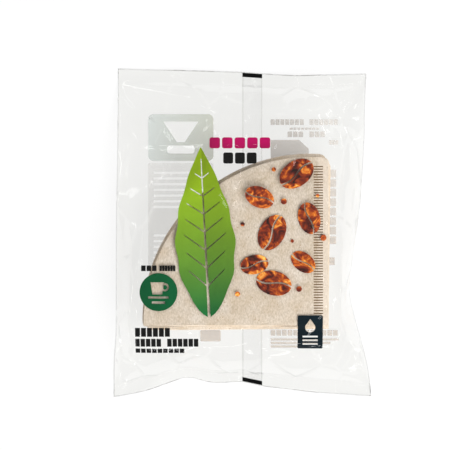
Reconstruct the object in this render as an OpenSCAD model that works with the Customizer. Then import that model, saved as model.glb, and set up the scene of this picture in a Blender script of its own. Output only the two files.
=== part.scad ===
// Sealed clear bag of cone coffee filters, lying on its back.
// +Y runs up the printed front, +Z points out of the front, and the
// origin is on the ground below the middle of the bag.

/* [Bag] */
// Film to the left of the stack, as far as the bag's corners
left_room = 23.2; // [19:0.1:32]
// Film to the right of the stack, as far as the bag's corners
right_room = 33.1; // [27:0.1:42]
// Film above the stack, with the end seal
top_room = 65.6; // [50:0.1:90]
// Film below the stack, with the end seal
bottom_room = 54.4; // [45:0.1:80]
// Thickness of the film
film_t = 0.08; // [0.05:0.01:0.12]
// Depth of the heat seal across each end
end_seal = 8; // [5:0.5:12]
// Width of the back seam's fin, which is folded flat against the back
fin_w = 14.5; // [8:0.5:20]
// Height of the side folds where the bag is fullest
fold_h = 12; // [6:0.5:14]
// Film to the right of the stack where that side is drawn in most
waist_room = 15.5; // [13:0.5:24]
// How far the stack draws the left side in
left_draw = 3; // [0:0.5:6]
// How far the stack draws the bottom edge in
bottom_draw = 15.5; // [4:0.5:18]
// How far the top edge dips right of the middle
top_dip = 5; // [0:0.5:8]
// Height of the buckle in the bottom seal
buckle_h = 6; // [0:0.5:8]
// Height that shut-in air lifts the film over the middle of the stack
crown_h = 1.6; // [0:0.2:6]

/* [Filters] */
// Number of filters in the bag
filter_count = 100; // [40:4:108]
// Slant length of the cone, from its tip to its rim
filter_r = 120; // [100:1:145]
// Width of the seam strip beyond the cone
seam_w = 11.7; // [9.8:0.1:14]
// Thickness of one leaf of paper
paper_t = 0.13; // [0.1:0.01:0.15]
// Space between the two leaves of a folded filter
leaf_gap = 0.02; // [0.01:0.01:0.04]
// Space between one filter and the next
filter_gap = 0.02; // [0.01:0.01:0.03]
// Corner radius at the rim end of the seam strip
strip_corner = 4; // [1:0.5:8]

/* [Crimped seam] */
// Spacing of the crimp lines
crimp_pitch = 1.87; // [1.5:0.01:3]
// Length of each crimp line
crimp_l = 6.6; // [4:0.1:7.5]
// Width of each pressed groove
crimp_w = 0.8; // [0.4:0.05:1]
// Depth of each pressed groove
crimp_depth = 0.09; // [0.04:0.01:0.1]
// Plain strip between the crimp lines and the cone
crimp_inset = 1.5; // [0.5:0.1:2]
// Plain paper between the fold and the first crimp line
crimp_start = 8; // [4:0.5:14]

/* [Print] */
// Thickness of a printed field
ink_t = 0.04; // [0.02:0.01:0.06]
// Length of the leaf, as a part of the filter's slant length
leaf_part = 1.02; // [0.9:0.01:1.04]
// Width of the leaf, as a part of that length
leaf_wide = 0.35; // [0.2:0.01:0.35]
// Length of the largest bean, as a part of it
bean_part = 0.225; // [0.15:0.005:0.23]
// Diameter of the round badge, as a part of it
badge_part = 0.225; // [0.15:0.005:0.24]
// Width of the dark label, as a part of it
label_part = 0.15; // [0.1:0.005:0.18]
// Width of the bar above the leaf and beans, as a part of it
bar_part = 0.375; // [0.2:0.005:0.45]
// Width of the printed panels on the back
panel_w = 48; // [36:1:52]
// Height of the upper panel on the back
panel_h = 34.5; // [24:0.5:40]
// Height of the pale panel below it
pale_h = 77.5; // [60:0.5:90]
// Width of the lines of small print on the back
small_w = 50; // [36:1:54]

/* [Hidden] */
$fn = 64;

// Spare length on a cutter, so that it passes the face that it cuts.
over = 1;

// Width of the film tube lying flat, and the bag's length as it lies
bag_w = left_room + filter_r + seam_w + right_room;
bag_l = bottom_room + filter_r + top_room;
half_w = bag_w / 2;
half_l = bag_l / 2;
right_draw = right_room - waist_room;
seal_y = half_l - end_seal;

// One filter is two leaves joined by a fold.
filter_t = 2 * paper_t + leaf_gap;
filter_pitch = filter_t + filter_gap;

// The fin is two leaves of film, and the back film rides over it.
fin_t = 2 * film_t;
fin_gap = 0.03;
fin_ride = fin_t + fin_gap;
fin_root = 0.5;
fin_ease = 4;

stack_z = fin_ride + film_t;
stack_top = stack_z + filter_count * filter_pitch - filter_gap;
// The film is stretched just clear of the paper.
film_clear = 0.03;
film_top = stack_top + ink_t + film_clear;

// Cone tip of the top filter, and the height of its rim up the bag.
tip = [half_w - right_room - seam_w, bottom_room - half_l];
rim_y = tip[1] + filter_r;

// The front print grows with the filter: a point at [across, up] parts of
// the slant length from its tip, and the sizes that follow from it.
function art(x, y) = tip + [x, y] * filter_r;
leaf_l = leaf_part * filter_r;
leaf_w = leaf_wide * filter_r;
bean_l = bean_part * filter_r;
badge_r = badge_part * filter_r / 2;
label_w = label_part * filter_r;
label_h = label_w * 4 / 3;
bar_w = bar_part * filter_r;
bar_h = bar_w * 8 / 45;
// Clear space beside a printed field
print_gap = filter_r / 80;

// Each bundle of filters has slid and turned a little on the one below,
// listed from the top: [right, up, turn].
bundles = [[0, 0, 0], [-0.9, 2.4, 0.4], [1.2, -2.2, -0.5], [1.8, -4.2, 0.3]];
bundle_count = filter_count / len(bundles);
jitter = 0.35;

// The film is level this far beyond the top filter's edge.
level_edge = 8;
// Grid lines between which the film's grid is square and isn't drawn in.
left_x = tip[0] - filter_r - level_edge;
right_x = tip[0] + seam_w + level_edge;
low_y = tip[1] - level_edge;
high_y = tip[1] + filter_r + level_edge;

// Linear table, softened over a distance w to each side.
function soft(table, x, w) =
    (lookup(x - w, table) + 2 * lookup(x, table) + lookup(x + w, table)) / 4;
// The first n of n + 1 even steps from a to b.
function steps(a, b, n) = [for (k = [0:n - 1]) a + (b - a) * k / n];
function ramp(a, b, x) = min(1, max(0, (x - a) / (b - a)));

// Outline of the bag: how far each side is drawn in, as a part of the most,
// against the height up the bag or the place across it.
right_pull = [[-1, 0], [-0.84, 0.1], [-0.7, 0.36], [-0.52, 0.75], [-0.35, 1.06],
              [-0.12, 0.82], [0.2, 0.52], [0.6, 0.34], [1, 0.2]];
left_pull = [[-1, 0], [-0.8, 0.1], [-0.6, 1], [0.2, 0.9], [1, 1.1]];
bottom_pull = [[-1, 0], [-0.75, 0.3], [-0.43, 1.05], [-0.22, 0.68], [0, 0.75],
               [0.16, 0.52], [0.6, 0.22], [1, 0.05]];
top_pull = [[-1, 0], [-0.5, 0.25], [0, 0.5], [0.42, 1.1], [0.7, 0.9], [1, 0.75]];
// The bottom seal lifts in a buckle, and the top seal in a lower one.
buckle = [[-0.8, 0], [-0.45, 1.15], [-0.12, 0], [0.25, 0], [0.5, 0.3], [0.8, 0]];
top_buckle = [[-0.7, 0], [-0.5, 0.25], [-0.2, 0], [0.2, 0], [0.5, 0.6], [0.85, 0]];

function left_edge(y) = -half_w + left_draw * soft(left_pull, y / half_l, 0.06);
function right_edge(y) = half_w - right_draw * soft(right_pull, y / half_l, 0.06);
function bottom_edge(x) = -half_l + bottom_draw * soft(bottom_pull, x / half_w, 0.05);
function top_edge(x) = half_l - top_dip * soft(top_pull, x / half_w, 0.08);

xs = concat(steps(-half_w, left_x, 4), steps(left_x, -fin_ease, 10),
            [-fin_ease, -fin_root, fin_w / 2, fin_w + fin_root],
            steps(fin_w + fin_ease, right_x, 7), steps(right_x, half_w, 5), [half_w]);
ys = concat([-half_l], steps(-seal_y, low_y, 7), steps(low_y, high_y, 16),
            steps(high_y, seal_y, 8), [seal_y, half_l]);
last_i = len(xs) - 1;
last_j = len(ys) - 1;

// Place of grid point [x, y] after the sides and ends are drawn in.
function drawn_x(x, y) =
    x < left_x ? left_x - (left_x - x) * (left_x - left_edge(y)) / (left_x + half_w) :
    x > right_x ? right_x + (x - right_x) * (right_edge(y) - right_x) / (half_w - right_x) : x;
function drawn_y(x, y) =
    y < low_y ? low_y - (low_y - y) * (low_y - bottom_edge(x)) / (low_y + half_l) :
    y > high_y ? high_y + (y - high_y) * (top_edge(x) - high_y) / (half_l - high_y) : y;

// Distance from the tip-relative point q to the flat outline of a filter.
function off_filter(q) =
    q[0] > 0 ? norm([max(0, q[0] - seam_w), max(0, -q[1], q[1] - filter_r)]) :
    q[1] > 0 ? max(0, norm(q) - filter_r) :
    norm([max(0, -filter_r - q[0]), q[1]]);

// How full the bag is at a grid point: 0 at the seals and folds, 1 over the stack.
function fullness(x, y) =
    let (px = drawn_x(x, y), py = drawn_y(x, y),
         gaps = [px - left_edge(y), right_edge(y) - px,
                 py - drawn_y(x, -seal_y), drawn_y(x, seal_y) - py],
         inside = min(gaps) <= 0.001 ? 0 :
             1 / sqrt(sum([for (g = gaps) 1 / (g * g)])),
         away = max(0, off_filter([px, py] - tip) - level_edge))
    inside == 0 ? 0 : sin(90 * inside / (inside + away));
function sum(list, k = 0) = k == len(list) ? 0 : list[k] + sum(list, k + 1);

// Height of the back film's inside where it lies on the ground or on the fin.
function ground(x) =
    film_t + fin_ride * min(ramp(-fin_ease, -fin_root, x),
                            ramp(fin_w + fin_ease, fin_w + fin_root, x));
// Height at which the front and back meet, at the folds and the seals.
function meet(x, y) =
    ground(x)
    + fold_h * ramp(0.4, 0.95, abs(x) / half_w)
        * ramp(-seal_y, low_y, y) * ramp(seal_y, high_y, y)
    + buckle_h * soft(buckle, x / half_w, 0.08) * ramp(low_y, -seal_y, y)
    + buckle_h * soft(top_buckle, x / half_w, 0.08) * ramp(high_y, seal_y, y);

// Lift of the front film over the stack, with nothing at the folds and seals.
function crown(x, y) =
    crown_h * sqrt(sin(180 * ramp(-half_w, right_x, x)) * sin(180 * ramp(low_y, high_y, y)));

function front_z(x, y) =
    let (m = meet(x, y)) m + (film_top - m) * fullness(x, y) + crown(x, y);
function back_z(x, y) = let (g = ground(x)) g + (meet(x, y) - g) * (1 - fullness(x, y));

// Inside faces of the film as grids of points, row by row up the bag.
front = [for (y = ys) [for (x = xs) [drawn_x(x, y), drawn_y(x, y), front_z(x, y)]]];
back = [for (y = ys) [for (x = xs) [drawn_x(x, y), drawn_y(x, y), back_z(x, y)]]];

// Unit normal of a grid at column i and row j, pointing up.
function normal(grid, i, j) =
    let (across = grid[j][min(last_i, i + 1)] - grid[j][max(0, i - 1)],
         along = grid[min(last_j, j + 1)][i] - grid[max(0, j - 1)][i],
         n = cross(across, along))
    n / norm(n);
// Outside face of the film at a grid point. Each side fold closes a film's
// thickness further out.
function outside(grid, i, j, side) =
    grid[j][i] + side * film_t * normal(grid, i, j)
    + [i == 0 ? -film_t : i == last_i ? film_t : 0, 0, 0];

// Number of a point in a block that is w points wide.
function at(i, j, w) = i + j * w;
// Two triangles for each cell of a block that is w points wide and h high and
// starts at grid point [i0, j0]. The splits point at the bag's middle.
function cells(w, h, i0, j0, point, flip) = [
    for (j = [0:h - 2]) for (i = [0:w - 2])
        let (a = point(i, j), b = point(i + 1, j), c = point(i + 1, j + 1), d = point(i, j + 1),
             even = (i + i0 < last_i / 2) == (j + j0 < last_j / 2),
             pair = even ? [[a, b, c], [a, c, d]] : [[a, b, d], [b, c, d]])
        for (f = pair) flip ? [f[2], f[1], f[0]] : f];

// Closed slab between two blocks of points that are w wide and h high and
// start at grid point [i0, j0].
module slab(top, bottom, w, h, i0 = 0, j0 = 0) {
    n = w * h;
    upper = function(i, j) at(i, j, w);
    lower = function(i, j) n + at(i, j, w);
    walls = concat(
        [for (i = [0:w - 2]) [upper(i, 0), upper(i + 1, 0), lower(i + 1, 0), lower(i, 0)]],
        [for (i = [0:w - 2]) [lower(i, h - 1), lower(i + 1, h - 1),
                              upper(i + 1, h - 1), upper(i, h - 1)]],
        [for (j = [0:h - 2]) [upper(0, j + 1), upper(0, j), lower(0, j), lower(0, j + 1)]],
        [for (j = [0:h - 2]) [upper(w - 1, j), upper(w - 1, j + 1),
                              lower(w - 1, j + 1), lower(w - 1, j)]]);
    polyhedron(concat(top, bottom),
               concat(cells(w, h, i0, j0, upper, true), cells(w, h, i0, j0, lower, false),
                      walls));
}

// Space inside the bag: the two inside faces, which meet at the folds and seals.
module bag_space() {
    w = last_i + 1;
    h = last_j - 1;
    upper = function(i, j) at(i, j, w);
    lower = function(i, j)
        (i == 0 || i == w - 1 || j == 0 || j == h - 1 ? 0 : w * h) + at(i, j, w);
    polyhedron(concat([for (j = [1:last_j - 1]) each front[j]],
                      [for (j = [1:last_j - 1]) each back[j]]),
               concat(cells(w, h, 0, 1, upper, true), cells(w, h, 0, 1, lower, false)));
}

// Back seam's fin, joined along its left edge and pressed into both end seals.
module fin() {
    root_top = fin_ride + film_t / 2;
    module strip(x0, x1) {
        polygon([[x0, bottom_edge(x0)], [x1, bottom_edge(x1)],
                 [x1, top_edge(x1)], [x0, top_edge(x0)]]);
    }
    linear_extrude(fin_t) strip(0, fin_w);
    linear_extrude(root_top) {
        strip(0, fin_root);
        intersection() {
            strip(0, fin_w);
            union() {
                translate([0, top_edge(0) - end_seal / 2]) square([fin_w, half_l]);
                translate([0, bottom_edge(0) + end_seal / 2 - half_l]) square([fin_w, half_l]);
            }
        }
    }
}

module film_bag() {
    color("#F4F6F6", 0.3) union() {
        difference() {
            slab([for (j = [0:last_j]) for (i = [0:last_i]) outside(front, i, j, 1)],
                 [for (j = [0:last_j]) for (i = [0:last_i]) outside(back, i, j, -1)],
                 last_i + 1, last_j + 1);
            bag_space();
        }
        fin();
    }
}

// Flat outline of one filter: a quarter disc with the seam strip beside it.
module filter_outline() {
    rim_y = sqrt(filter_r * filter_r - seam_w * seam_w);
    intersection() {
        circle(r = filter_r, $fn = 180);
        union() {
            translate([-filter_r, 0]) square([filter_r + seam_w - strip_corner, filter_r]);
            square([seam_w, rim_y - strip_corner]);
            translate([seam_w - strip_corner, rim_y - strip_corner]) circle(r = strip_corner);
        }
    }
}

// One folded filter: two leaves that turn into each other at the lower edge.
module folded_filter() {
    difference() {
        intersection() {
            linear_extrude(filter_t) filter_outline();
            translate([-filter_r - over, 0, 0]) rotate([90, 0, 90])
                linear_extrude(filter_r + seam_w + 2 * over) {
                    translate([filter_t / 2, filter_t / 2]) circle(d = filter_t);
                    translate([filter_t / 2, 0]) square([filter_r + over, filter_t]);
                }
        }
        translate([-filter_r - over, paper_t, paper_t])
            cube([filter_r + over, filter_r + over, leaf_gap]);
    }
}

// A filter with the crimp lines pressed into both sides of its seam strip.
module crimped_filter() {
    lines = floor((filter_r - crimp_start - strip_corner) / crimp_pitch);
    difference() {
        folded_filter();
        for (k = [0:lines - 1]) {
            y = crimp_start + k * crimp_pitch;
            translate([crimp_inset, y, filter_t - crimp_depth]) cube([crimp_l, crimp_w, over]);
            translate([crimp_inset, y + crimp_pitch / 2, crimp_depth - over])
                cube([crimp_l, crimp_w, over]);
        }
    }
}

// Places its child as filter k, counted from the back of the bag.
module in_stack(k) {
    from_top = filter_count - 1 - k;
    bundle = bundles[floor(from_top / bundle_count)];
    loose = from_top == 0 ? 0 : jitter;
    translate([tip[0] + bundle[0] + loose * sin(137 * k),
               tip[1] + bundle[1] + loose * sin(71 * k + 20),
               stack_z + k * filter_pitch])
        rotate([0, 0, bundle[2] + loose * sin(53 * k)]) children();
}

module top_filter() {
    color("#D9C8B2") in_stack(filter_count - 1) crimped_filter();
}

module filter_stack() {
    color("#D2BFA6") for (k = [1:filter_count - 2]) in_stack(k) folded_filter();
}

module back_filter() {
    color("#D9C8B2") in_stack(0) crimped_filter();
}

// Last grid line at or before v, kept far enough from the list's ends.
function line_before(list, v) = max([0, for (k = [0:len(list) - 2]) if (list[k] <= v) k]);

// Thin layer of ink on an inside face of the film, kept where its child's
// outline covers it. The box [x0, y0, x1, y1] has to hold the outline.
module ink(grid, box, lift) {
    i0 = max(0, line_before(xs, box[0]) - 1);
    i1 = min(last_i, line_before(xs, box[2]) + 2);
    j0 = max(1, line_before(ys, box[1]) - 1);
    j1 = min(last_j - 1, line_before(ys, box[3]) + 2);
    face = [for (j = [j0:j1]) for (i = [i0:i1]) grid[j][i]];
    moved = [for (p = face) p + [0, 0, lift]];
    intersection() {
        slab(lift > 0 ? moved : face, lift > 0 ? face : moved,
             i1 - i0 + 1, j1 - j0 + 1, i0, j0);
        linear_extrude(film_top + crown_h + over) children();
    }
}
module front_ink(box) { ink(front, box, -ink_t) children(); }
module back_ink(box) { ink(back, box, ink_t) children(); }

// Flat shapes of the print.
module bar(x, y, w, h, r = 0) {
    if (r == 0) translate([x, y]) square([w, h]);
    else union() {
        translate([x + r, y]) square([w - 2 * r, h]);
        translate([x, y + r]) square([w, h - 2 * r]);
        for (cx = [x + r, x + w - r]) for (cy = [y + r, y + h - r])
            translate([cx, cy]) circle(r = r, $fn = 24);
    }
}
// A line of print w long, drawn as n blocks with round corners of radius r.
// Block number blank is left out, as the space between two words.
module words(x, y, w, h, n, r = 0, blank = -1) {
    pitch = w / n;
    for (k = [0:n - 1]) if (k != blank) bar(x + k * pitch, y, pitch * 0.84, h, r);
}
// Lines of small print, drawn as bars that get shorter in turn.
module text_lines(x, y, w, h, pitch, n) {
    for (k = [0:n - 1]) bar(x, y - k * pitch, w * (1 - 0.12 * (k % 3)), h);
}

// Half width of the leaf a part t of the way from its stem to its tip.
function leaf_half(t) =
    leaf_w / 2 * pow(sin(180 * pow(t, 0.8)), 0.9) * (1 + 0.035 * sin(1800 * t));
module leaf_shape() {
    n = 40;
    vein_t = leaf_l / 136;
    t_of = function(k) k / n;
    difference() {
        polygon(concat([for (k = [0:n]) [leaf_half(t_of(k)), leaf_l * t_of(k)]],
                       [for (k = [n - 1:-1:1]) [-leaf_half(t_of(k)), leaf_l * t_of(k)]]));
        polygon([[-vein_t * 1.1, -over], [vein_t * 1.1, -over], [vein_t / 3, leaf_l * 0.93],
                 [-vein_t / 3, leaf_l * 0.93]]);
        for (k = [1:7]) for (m = [0, 1]) mirror([m, 0]) {
            t = 0.08 + 0.105 * k;
            reach = leaf_half(t + 0.08) * 0.82;
            translate([vein_t * 0.7, leaf_l * t]) rotate([0, 0, 42 - 2 * k])
                polygon([[0, 0], [reach, vein_t * 0.9], [reach * 1.1, vein_t * 1.6], [0, vein_t]]);
        }
    }
}
leaf_at = art(-0.608, 0.042);
leaf_turn = 3;
leaf_top = leaf_at[1] + leaf_l * cos(leaf_turn);
module leaf_print() {
    half = leaf_w / 2 + leaf_l * sin(leaf_turn);
    color("#2E8B34")
        front_ink([leaf_at[0] - half, leaf_at[1], leaf_at[0] + half, leaf_top])
            translate(leaf_at) rotate([0, 0, leaf_turn]) leaf_shape();
}

// A coffee bean with a curved slit, l long.
module bean(l) {
    n = 28;
    slit = l * 0.045;
    bend = l * 0.06;
    difference() {
        polygon([for (k = [0:n - 1]) [l / 2 * cos(360 * k / n), l * 0.34 * sin(360 * k / n)]]);
        polygon(concat([for (t = [-0.55:0.11:0.56]) [t * l, bend * sin(330 * t) + slit / 2]],
                       [for (t = [0.55:-0.11:-0.56]) [t * l, bend * sin(330 * t) - slit / 2]]));
    }
}
// Beans as [across, up, size, turn] and drops as [across, up, radius]. Their
// places and radii are parts of the filter's slant length.
beans = [[-0.09, 0.9, 1, 35], [-0.31, 0.76, 0.8, -24], [-0.015, 0.635, 0.85, 104],
         [-0.235, 0.55, 1, 62], [-0.34, 0.36, 0.75, 12], [-0.05, 0.375, 0.72, -38],
         [-0.225, 0.25, 0.95, -14]];
drops = [[-0.165, 0.735, 0.0175], [-0.225, 0.925, 0.0133], [0.07, 0.52, 0.0183],
         [-0.41, 0.6, 0.0125], [-0.075, 0.215, 0.0167], [0.035, 0.77, 0.0108],
         [-0.44, 0.185, 0.015], [-0.115, 0.5, 0.01]];
module bean_print() {
    color("#7A3A14")
        front_ink([tip[0] - filter_r / 2, tip[1], tip[0] + seam_w, rim_y]) {
            for (b = beans) translate(art(b[0], b[1])) rotate([0, 0, b[3]]) bean(bean_l * b[2]);
            for (d = drops) translate(art(d[0], d[1])) circle(r = d[2] * filter_r, $fn = 24);
        }
}

// The title's bar starts right of the leaf's tip.
title_at = [leaf_at[0], leaf_top - print_gap * 2 / 3];
module title_print() {
    color("#C8006E") front_ink([title_at[0], title_at[1], title_at[0] + bar_w, title_at[1] + bar_h])
        words(title_at[0], title_at[1], bar_w, bar_h, 5, bar_h / 5);
}

badge_at = art(-0.91, 0.196);
module badge_print() {
    r = badge_r;
    color("#00542B") front_ink([badge_at[0] - r, badge_at[1] - r, badge_at[0] + r, badge_at[1] + r])
        translate(badge_at) difference() {
            circle(r = r);
            // A cup with its handle, and two bars below it
            polygon([[-r * 0.42, r * 0.52], [r * 0.3, r * 0.52], [r * 0.2, -r * 0.12],
                     [-r * 0.32, -r * 0.12]]);
            translate([r * 0.34, r * 0.26]) difference() {
                circle(r = r * 0.22, $fn = 32);
                circle(r = r * 0.12, $fn = 32);
            }
            bar(-r * 0.55, -r * 0.34, r * 1.1, r * 0.11);
            bar(-r * 0.35, -r * 0.62, r * 0.7, r * 0.13);
        }
}

// Black lines of print: under the title, over the badge and below the stack.
// Each line below the stack is [length, height] in parts of the slant length,
// then its number of blocks and the one left out.
lines = [[0.2125, 0.0533, 6, -1], [0.381, 0.0483, 12, 5], [0.297, 0.0267, 9, -1]];
module caption_print() {
    sub_w = bar_w * 0.56;
    sub_at = [title_at[0] + (bar_w - sub_w) / 2, title_at[1] - bar_h - print_gap * 2];
    note_w = badge_r * 0.86;
    note_h = badge_r * 0.3;
    note_y = badge_at[1] + badge_r + print_gap;
    low = art(-1.05, -0.0167);
    color("#151515") {
        front_ink([sub_at[0], sub_at[1], sub_at[0] + sub_w, sub_at[1] + bar_h])
            words(sub_at[0], sub_at[1], sub_w, bar_h, 3, bar_h / 6);
        front_ink([badge_at[0] - badge_r, note_y, badge_at[0] + badge_r, note_y + note_h])
            for (side = [-1, 1])
                words(badge_at[0] + side * (note_w + print_gap) / 2 - note_w / 2, note_y,
                      note_w, note_h, side < 0 ? 3 : 6);
        front_ink([low[0], low[1] - filter_r / 6, low[0] + lines[1][0] * filter_r, low[1]])
            for (k = [0:2])
                words(low[0],
                      low[1] - sum([for (m = [0:k]) lines[m][1] * filter_r + print_gap]) + print_gap,
                      lines[k][0] * filter_r, lines[k][1] * filter_r, lines[k][2], 0, lines[k][3]);
    }
}

label_at = art(-0.083, 0.058);
module label_print() {
    w = label_w;
    h = label_h;
    color("#001E28") front_ink([label_at[0], label_at[1] - h, label_at[0] + w, label_at[1]])
        translate(label_at) difference() {
            bar(0, -h, w, h, w / 18);
            // A drop, and three lines below it
            translate([w / 2, -h * 0.36]) {
                circle(r = w * 0.2, $fn = 32);
                polygon([[-w * 0.185, h * 0.055], [w * 0.185, h * 0.055], [0, h * 0.26]]);
            }
            for (k = [0:2]) bar(w * 0.2, -h * (0.66 + 0.11 * k), w * 0.6, h * 0.05);
        }
}

// Panels on the back of the bag, seen past the stack through the clear front.
// Small print goes by lines, with a share of the pitch inked.
row_ink = 0.38;
module back_panel_print() {
    x = tip[0] - filter_r + print_gap;
    y = rim_y - print_gap;
    row = pale_h / 18.5;
    inset = panel_w / 12;
    text_w = panel_w - 2 * inset;
    pale_top = y - print_gap;
    color("#B9C2B4") {
        back_ink([x, y, x + panel_w, y + panel_h]) difference() {
            bar(x, y, panel_w, panel_h, inset);
            // A folded filter standing in a cup
            translate([x + panel_w / 2, y]) {
                polygon([[-panel_w * 0.27, panel_h * 0.84], [panel_w * 0.27, panel_h * 0.84],
                         [panel_w * 0.06, panel_h * 0.4], [-panel_w * 0.06, panel_h * 0.4]]);
                bar(-panel_w * 0.21, panel_h * 0.16, panel_w * 0.42, panel_h * 0.17, inset / 2);
            }
        }
        back_ink([x, pale_top - pale_h, x + panel_w, pale_top]) difference() {
            bar(x, pale_top - pale_h, panel_w, pale_h, inset / 4);
            text_lines(x + inset, pale_top - row * 1.9, text_w, row * row_ink, row, 7);
            text_lines(x + inset, pale_top - row * 12.9, text_w, row * row_ink, row, 5);
        }
    }
}

// Text beside the fin, boxes down the side and a small field near the seal.
module back_text_print() {
    x = fin_w + small_w / 8;
    row = small_w / 12;
    box_w = small_w * 0.132;
    box_pitch = box_w * 1.06;
    box_h = box_w * 0.85;
    side_x = right_x - box_w;
    head_y = rim_y + small_w / 2;
    low_y = tip[1] - filter_r / 12;
    field_w = small_w * 0.3;
    color("#A89B8C") {
        back_ink([x, rim_y - print_gap, x + small_w, head_y + row]) {
            words(x, head_y, small_w, row, 14, 0, 7);
            words(x + small_w * 0.28, head_y - row * 0.85, small_w * 0.44, row * row_ink, 8);
            words(x + small_w * 0.25, head_y - row * 2.15, small_w * 0.56, row, 7, 0, 3);
            translate([x, rim_y - print_gap])
                polygon([[0, 0], [0.56, 0], [0.56, 0.18], [0.42, 0.31], [0, 0.31]] * small_w);
            words(x + small_w * 0.86, rim_y + small_w * 0.21, small_w * 0.14, row * 0.8, 3);
        }
        back_ink([side_x, tip[1] + filter_r / 3, side_x + box_w, rim_y]) {
            for (k = [1:8])
                bar(side_x, rim_y - box_pitch * k - box_w, box_w, box_h);
            bar(side_x, tip[1] + filter_r * 0.35, box_h, box_h);
        }
        back_ink([x, low_y - row * 3, x + small_w, low_y + row]) {
            words(x, low_y, small_w, row, 12, 0, 5);
            text_lines(x, low_y - row * 0.85, small_w, row * row_ink, row * 0.62, 3);
        }
        back_ink([-fin_w * 1.1 - field_w, low_y - row, -fin_w * 1.1, low_y + row])
            bar(-fin_w * 1.1 - field_w, low_y - row, field_w, row * 2, row / 4);
    }
}

// Registration marks across the fin, on the outer face of both end seals.
module eye_marks() {
    mark_h = 3;
    i0 = line_before(xs, -fin_root);
    i1 = line_before(xs, fin_w + fin_root);
    module on_seal(j) {
        face = [for (row = [j, j + 1]) for (i = [i0:i1]) outside(front, i, row, 1)];
        intersection() {
            slab([for (p = face) p + [0, 0, ink_t]], face, i1 - i0 + 1, 2, i0, j);
            linear_extrude(film_top + crown_h) children();
        }
    }
    module mark(x, y0, y1) {
        polygon([[x, y0], [x + fin_w, y1], [x + fin_w, y1 + mark_h], [x, y0 + mark_h]]);
    }
    color("#1A1A1A") {
        on_seal(last_j - 1) mark(0, top_edge(0) - mark_h - 1, top_edge(fin_w) - mark_h - 1);
        on_seal(0) mark(0, bottom_edge(0) + 1, bottom_edge(fin_w) + 1);
    }
}

film_bag();
top_filter();
filter_stack();
back_filter();
leaf_print();
bean_print();
title_print();
badge_print();
caption_print();
label_print();
back_panel_print();
back_text_print();
eye_marks();
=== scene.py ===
# %% [markdown]
# # A sealed clear bag of paper coffee filters
# A hundred folded filters lie in a bag of clear printed film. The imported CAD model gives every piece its
# place. This lesson keeps the exact paper pieces, and remakes the film as simulated cloth, because real
# film wrinkles. The ink is copied from the CAD outlines and laid on the wrinkled film.

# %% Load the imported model
import math

import bpy
import numpy as np
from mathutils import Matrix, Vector


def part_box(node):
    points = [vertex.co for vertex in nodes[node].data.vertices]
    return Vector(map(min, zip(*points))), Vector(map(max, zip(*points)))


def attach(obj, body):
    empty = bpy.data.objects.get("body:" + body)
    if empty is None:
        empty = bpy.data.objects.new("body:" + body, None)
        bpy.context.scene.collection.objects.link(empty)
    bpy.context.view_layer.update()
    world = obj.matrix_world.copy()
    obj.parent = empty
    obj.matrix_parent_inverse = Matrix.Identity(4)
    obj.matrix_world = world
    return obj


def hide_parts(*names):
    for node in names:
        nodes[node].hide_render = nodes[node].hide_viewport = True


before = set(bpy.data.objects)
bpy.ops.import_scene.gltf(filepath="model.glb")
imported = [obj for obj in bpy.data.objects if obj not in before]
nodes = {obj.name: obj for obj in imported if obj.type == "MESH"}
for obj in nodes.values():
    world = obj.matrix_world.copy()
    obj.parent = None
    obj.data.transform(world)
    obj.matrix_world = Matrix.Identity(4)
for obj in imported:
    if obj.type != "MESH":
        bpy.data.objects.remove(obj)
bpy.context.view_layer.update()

# %% [markdown]
# ## Units and small helpers
# Sizes are written in millimetres, as on a drawing, and turned to metres in one place. Colours are written
# as sRGB hex values, which is how a colour picker shows them, and turned to the linear values that shaders
# work in.

# %% Helpers for units, colours and shader nodes
MM = 0.001


def linear(code):
    """Turns an sRGB hex colour to linear red, green, blue and a full alpha."""
    parts = [int(code[n : n + 2], 16) / 255 for n in (1, 3, 5)]
    return [c / 12.92 if c <= 0.04045 else ((c + 0.055) / 1.055) ** 2.4 for c in parts] + [1.0]


def finish_named(name, says):
    """Makes an empty node material, and prints what its finish gives the eye."""
    material = bpy.data.materials.new(name)
    material.use_nodes = True
    material.node_tree.nodes.clear()
    print("material", name, "-", says)
    return material


def add(material, kind, settings=None, **inputs):
    """Adds a shader node. A tuple of a node and a socket's name is linked, anything else is set.

    An input goes by its name, or by its number after an i where several share a name. The setting "stops"
    gives a colour ramp its stops, each a position and a hex colour, in rising order.
    """
    node = material.node_tree.nodes.new("ShaderNode" + kind)
    settings = dict(settings or {})
    stops = settings.pop("stops", ())
    for _ in stops[2:]:
        node.color_ramp.elements.new(0.5)
    for n, (position, code) in enumerate(stops):
        node.color_ramp.elements[n].position = position
        node.color_ramp.elements[n].color = linear(code)
    for key, value in settings.items():
        setattr(node, key, value)
    for key, value in inputs.items():
        by_number = key[0] == "i" and key[1:].isdigit()
        socket = node.inputs[int(key[1:]) if by_number else key.replace("_", " ")]
        if isinstance(value, tuple) and len(value) == 2 and hasattr(value[0], "outputs"):
            material.node_tree.links.new(value[0].outputs[value[1]], socket)
        else:
            socket.default_value = value
    return node


def give(piece, material):
    """Makes this a piece's only material."""
    piece.data.materials.clear()
    piece.data.materials.append(material)


def pick_only(*objects):
    """Leaves nothing selected but these objects, and makes the first one active."""
    if bpy.context.object and bpy.context.object.mode != "OBJECT":
        bpy.ops.object.mode_set(mode="OBJECT")
    bpy.ops.object.select_all(action="DESELECT")
    for o in objects:
        o.select_set(True)
    bpy.context.view_layer.objects.active = objects[0]


def coords(mesh):
    """A mesh's points as an array of rows x, y, z."""
    flat = np.empty(len(mesh.vertices) * 3)
    mesh.vertices.foreach_get("co", flat)
    return flat.reshape(-1, 3)


def set_coords(mesh, points):
    """Moves a mesh's points to an array of rows x, y, z."""
    mesh.vertices.foreach_set("co", np.asarray(points, dtype=float).ravel())
    mesh.update()


print("white is", linear("#FFFFFF"), "in linear values")

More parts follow.
